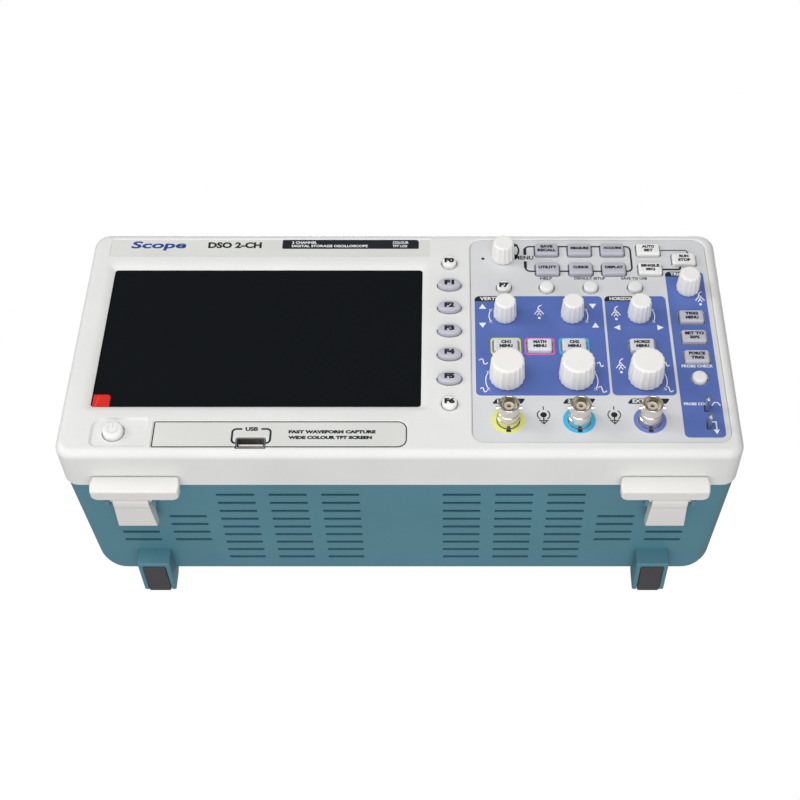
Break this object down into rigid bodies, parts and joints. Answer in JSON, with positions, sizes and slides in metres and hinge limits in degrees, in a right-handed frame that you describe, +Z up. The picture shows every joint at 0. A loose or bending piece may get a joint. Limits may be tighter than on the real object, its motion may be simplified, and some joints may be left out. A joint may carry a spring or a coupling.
{
  "type": "digital oscilloscope",
  "caption": "Bench digital oscilloscope: wide screen, key and knob panel, coaxial input sockets, teal rear shell, fold-out tilt legs and a folding carry handle.",
  "frame": {"origin": "centre of the box on the bench surface under the instrument", "axes": "+X to the right seen from the front, +Y from the front panel to the rear, +Z up"},
  "size_m": [0.314, 0.1198, 0.1471],
  "materials": {
    "bezel_white": "fine moulded texture",
    "plate_grey": "printed overlay, satin",
    "shell_teal": "fine moulded texture",
    "screen_window": "polished",
    "display_metal": "pressed sheet",
    "circuit_board": "solder mask",
    "supply_parts": "moulded",
    "black_plastic": "moulded",
    "socket_nickel": "nickel plated",
    "port_steel": "plated sheet",
    "foot_white": "moulded",
    "key_white": "soft satin",
    "key_grey": "soft satin",
    "knob_white": "fluted, satin",
    "pad_rubber": "matt"
  },
  "bodies": {
    "case": {"front_bezel": "bezel_white", "rear_shell": "shell_teal", "display_window": "screen_window", "lcd_module": "display_metal", "control_plate": "plate_grey", "key_board": "circuit_board", "main_board": "circuit_board", "power_supply": "supply_parts", "fan_frame": "black_plastic", "rear_io_board": "circuit_board", "bnc_channel_1": "socket_nickel", "bnc_channel_2": "socket_nickel", "bnc_ext_trigger": "socket_nickel", "usb_host_port": "port_steel", "probe_terminals": "port_steel", "front_foot_left": "foot_white", "front_foot_right": "foot_white", "rear_pad_left": "pad_rubber", "rear_pad_right": "pad_rubber"},
    "power_button": {"power_button": "key_white"},
    "soft_key_f0": {"soft_key_f0": "key_white"},
    "soft_key_f1": {"soft_key_f1": "key_grey"},
    "soft_key_f2": {"soft_key_f2": "key_grey"},
    "soft_key_f3": {"soft_key_f3": "key_grey"},
    "soft_key_f4": {"soft_key_f4": "key_grey"},
    "soft_key_f5": {"soft_key_f5": "key_grey"},
    "soft_key_f6": {"soft_key_f6": "key_white"},
    "key_f7": {"key_f7": "key_white"},
    "key_help": {"key_help": "key_white"},
    "key_default_setup": {"key_default_setup": "key_white"},
    "key_save_to_usb": {"key_save_to_usb": "key_white"},
    "key_save_recall": {"key_save_recall": "key_grey"},
    "key_measure": {"key_measure": "key_grey"},
    "key_acquire": {"key_acquire": "key_grey"},
    "key_utility": {"key_utility": "key_grey"},
    "key_cursor": {"key_cursor": "key_grey"},
    "key_display": {"key_display": "key_grey"},
    "key_auto_set": {"key_auto_set": "key_white"},
    "key_single": {"key_single": "key_white"},
    "key_run_stop": {"key_run_stop": "key_white"},
    "key_channel_1": {"key_channel_1": "key_grey"},
    "key_math": {"key_math": "key_grey"},
    "key_channel_2": {"key_channel_2": "key_grey"},
    "key_horizontal": {"key_horizontal": "key_grey"},
    "key_trigger_menu": {"key_trigger_menu": "key_grey"},
    "key_set_half": {"key_set_half": "key_grey"},
    "key_force_trigger": {"key_force_trigger": "key_grey"},
    "key_probe_check": {"key_probe_check": "key_white"},
    "knob_multi_purpose": {"knob_multi_purpose": "knob_white"},
    "knob_position_1": {"knob_position_1": "knob_white"},
    "knob_position_2": {"knob_position_2": "knob_white"},
    "knob_position_horizontal": {"knob_position_horizontal": "knob_white"},
    "knob_trigger_level": {"knob_trigger_level": "knob_white"},
    "knob_scale_1": {"knob_scale_1": "knob_white"},
    "knob_scale_2": {"knob_scale_2": "knob_white"},
    "knob_scale_horizontal": {"knob_scale_horizontal": "knob_white"},
    "tilt_leg_left": {"tilt_leg_left": "foot_white"},
    "tilt_leg_right": {"tilt_leg_right": "foot_white"},
    "carry_handle": {"carry_handle": "shell_teal"},
    "fan_rotor": {"fan_rotor": "black_plastic"}
  },
  "joints": [
    {"name": "power_button_press", "type": "slide", "parent": "case", "child": "power_button", "axis": [0, 1, 0], "range_m": [0, 0.001], "stiffness_N_per_m": 1500},
    {"name": "soft_key_f0_press", "type": "slide", "parent": "case", "child": "soft_key_f0", "axis": [0, 1, 0], "range_m": [0, 0.0008], "stiffness_N_per_m": 1500},
    {"name": "soft_key_f1_press", "type": "slide", "parent": "case", "child": "soft_key_f1", "axis": [0, 1, 0], "range_m": [0, 0.0008], "stiffness_N_per_m": 1500},
    {"name": "soft_key_f2_press", "type": "slide", "parent": "case", "child": "soft_key_f2", "axis": [0, 1, 0], "range_m": [0, 0.0008], "stiffness_N_per_m": 1500},
    {"name": "soft_key_f3_press", "type": "slide", "parent": "case", "child": "soft_key_f3", "axis": [0, 1, 0], "range_m": [0, 0.0008], "stiffness_N_per_m": 1500},
    {"name": "soft_key_f4_press", "type": "slide", "parent": "case", "child": "soft_key_f4", "axis": [0, 1, 0], "range_m": [0, 0.0008], "stiffness_N_per_m": 1500},
    {"name": "soft_key_f5_press", "type": "slide", "parent": "case", "child": "soft_key_f5", "axis": [0, 1, 0], "range_m": [0, 0.0008], "stiffness_N_per_m": 1500},
    {"name": "soft_key_f6_press", "type": "slide", "parent": "case", "child": "soft_key_f6", "axis": [0, 1, 0], "range_m": [0, 0.0008], "stiffness_N_per_m": 1500},
    {"name": "key_f7_press", "type": "slide", "parent": "case", "child": "key_f7", "axis": [0, 1, 0], "range_m": [0, 0.0008], "stiffness_N_per_m": 1500},
    {"name": "key_help_press", "type": "slide", "parent": "case", "child": "key_help", "axis": [0, 1, 0], "range_m": [0, 0.0008], "stiffness_N_per_m": 1500},
    {"name": "key_default_setup_press", "type": "slide", "parent": "case", "child": "key_default_setup", "axis": [0, 1, 0], "range_m": [0, 0.0008], "stiffness_N_per_m": 1500},
    {"name": "key_save_to_usb_press", "type": "slide", "parent": "case", "child": "key_save_to_usb", "axis": [0, 1, 0], "range_m": [0, 0.0008], "stiffness_N_per_m": 1500},
    {"name": "key_save_recall_press", "type": "slide", "parent": "case", "child": "key_save_recall", "axis": [0, 1, 0], "range_m": [0, 0.0008], "stiffness_N_per_m": 1500},
    {"name": "key_measure_press", "type": "slide", "parent": "case", "child": "key_measure", "axis": [0, 1, 0], "range_m": [0, 0.0008], "stiffness_N_per_m": 1500},
    {"name": "key_acquire_press", "type": "slide", "parent": "case", "child": "key_acquire", "axis": [0, 1, 0], "range_m": [0, 0.0008], "stiffness_N_per_m": 1500},
    {"name": "key_utility_press", "type": "slide", "parent": "case", "child": "key_utility", "axis": [0, 1, 0], "range_m": [0, 0.0008], "stiffness_N_per_m": 1500},
    {"name": "key_cursor_press", "type": "slide", "parent": "case", "child": "key_cursor", "axis": [0, 1, 0], "range_m": [0, 0.0008], "stiffness_N_per_m": 1500},
    {"name": "key_display_press", "type": "slide", "parent": "case", "child": "key_display", "axis": [0, 1, 0], "range_m": [0, 0.0008], "stiffness_N_per_m": 1500},
    {"name": "key_auto_set_press", "type": "slide", "parent": "case", "child": "key_auto_set", "axis": [0, 1, 0], "range_m": [0, 0.0008], "stiffness_N_per_m": 1500},
    {"name": "key_single_press", "type": "slide", "parent": "case", "child": "key_single", "axis": [0, 1, 0], "range_m": [0, 0.0008], "stiffness_N_per_m": 1500},
    {"name": "key_run_stop_press", "type": "slide", "parent": "case", "child": "key_run_stop", "axis": [0, 1, 0], "range_m": [0, 0.0008], "stiffness_N_per_m": 1500},
    {"name": "key_channel_1_press", "type": "slide", "parent": "case", "child": "key_channel_1", "axis": [0, 1, 0], "range_m": [0, 0.0008], "stiffness_N_per_m": 1500},
    {"name": "key_math_press", "type": "slide", "parent": "case", "child": "key_math", "axis": [0, 1, 0], "range_m": [0, 0.0008], "stiffness_N_per_m": 1500},
    {"name": "key_channel_2_press", "type": "slide", "parent": "case", "child": "key_channel_2", "axis": [0, 1, 0], "range_m": [0, 0.0008], "stiffness_N_per_m": 1500},
    {"name": "key_horizontal_press", "type": "slide", "parent": "case", "child": "key_horizontal", "axis": [0, 1, 0], "range_m": [0, 0.0008], "stiffness_N_per_m": 1500},
    {"name": "key_trigger_menu_press", "type": "slide", "parent": "case", "child": "key_trigger_menu", "axis": [0, 1, 0], "range_m": [0, 0.0008], "stiffness_N_per_m": 1500},
    {"name": "key_set_half_press", "type": "slide", "parent": "case", "child": "key_set_half", "axis": [0, 1, 0], "range_m": [0, 0.0008], "stiffness_N_per_m": 1500},
    {"name": "key_force_trigger_press", "type": "slide", "parent": "case", "child": "key_force_trigger", "axis": [0, 1, 0], "range_m": [0, 0.0008], "stiffness_N_per_m": 1500},
    {"name": "key_probe_check_press", "type": "slide", "parent": "case", "child": "key_probe_check", "axis": [0, 1, 0], "range_m": [0, 0.0008], "stiffness_N_per_m": 1500},
    {"name": "knob_multi_purpose_turn", "type": "hinge", "parent": "case", "child": "knob_multi_purpose", "pos_m": [0.0498, -0.0471, 0.1307], "axis": [0, 1, 0], "continuous": true},
    {"name": "knob_position_1_turn", "type": "hinge", "parent": "case", "child": "knob_position_1", "pos_m": [0.0498, -0.0471, 0.0919], "axis": [0, 1, 0], "continuous": true},
    {"name": "knob_position_2_turn", "type": "hinge", "parent": "case", "child": "knob_position_2", "pos_m": [0.0825, -0.0471, 0.0919], "axis": [0, 1, 0], "continuous": true},
    {"name": "knob_position_horizontal_turn", "type": "hinge", "parent": "case", "child": "knob_position_horizontal", "pos_m": [0.115, -0.0471, 0.0919], "axis": [0, 1, 0], "continuous": true},
    {"name": "knob_trigger_level_turn", "type": "hinge", "parent": "case", "child": "knob_trigger_level", "pos_m": [0.1404, -0.0471, 0.1093], "axis": [0, 1, 0], "continuous": true},
    {"name": "knob_scale_1_turn", "type": "hinge", "parent": "case", "child": "knob_scale_1", "pos_m": [0.0498, -0.0471, 0.0538], "axis": [0, 1, 0], "continuous": true},
    {"name": "knob_scale_2_turn", "type": "hinge", "parent": "case", "child": "knob_scale_2", "pos_m": [0.0825, -0.0471, 0.0538], "axis": [0, 1, 0], "continuous": true},
    {"name": "knob_scale_horizontal_turn", "type": "hinge", "parent": "case", "child": "knob_scale_horizontal", "pos_m": [0.115, -0.0471, 0.0538], "axis": [0, 1, 0], "continuous": true},
    {"name": "tilt_leg_left_fold", "type": "hinge", "parent": "case", "child": "tilt_leg_left", "pos_m": [-0.1249, -0.0189, 0.0034], "axis": [-1, 0, 0], "range_deg": [0, 90]},
    {"name": "tilt_leg_right_fold", "type": "hinge", "parent": "case", "child": "tilt_leg_right", "pos_m": [0.1249, -0.0189, 0.0034], "axis": [-1, 0, 0], "range_deg": [0, 90]},
    {"name": "carry_handle_lift", "type": "hinge", "parent": "case", "child": "carry_handle", "pos_m": [0, -0.0071, 0.1413], "axis": [1, 0, 0], "range_deg": [0, 90]},
    {"name": "fan_rotor_spin", "type": "hinge", "parent": "case", "child": "fan_rotor", "pos_m": [0.092, 0.0439, 0.0846], "axis": [0, 1, 0], "continuous": true}
  ]
}
